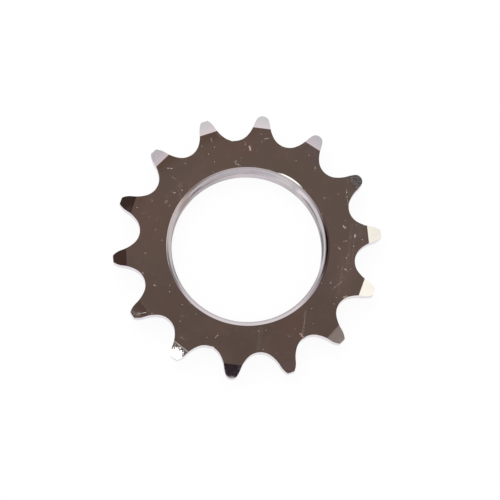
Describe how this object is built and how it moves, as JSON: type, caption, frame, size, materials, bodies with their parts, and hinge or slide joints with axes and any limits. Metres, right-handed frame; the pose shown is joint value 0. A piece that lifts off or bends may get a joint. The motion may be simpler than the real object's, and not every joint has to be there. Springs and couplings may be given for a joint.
{
  "type": "single speed cog",
  "caption": "Flat chrome-plated bicycle chain cog with bevelled teeth round its rim, a low boss on its back and a large threaded bore that screws onto a rear hub.",
  "frame": {"origin": "centre of the bore, on the plane of the boss's back face", "axes": "+Z along the bore, from the boss to the flat outer face; +Y through the middle of a tooth"},
  "size_m": [0.0598, 0.061, 0.0062],
  "materials": {
    "chrome_plate": "bright chrome plate on steel, flat outer face polished, with small nicks and fine scratches"
  },
  "bodies": {
    "root": {"cog": "chrome_plate"}
  },
  "joints": []
}
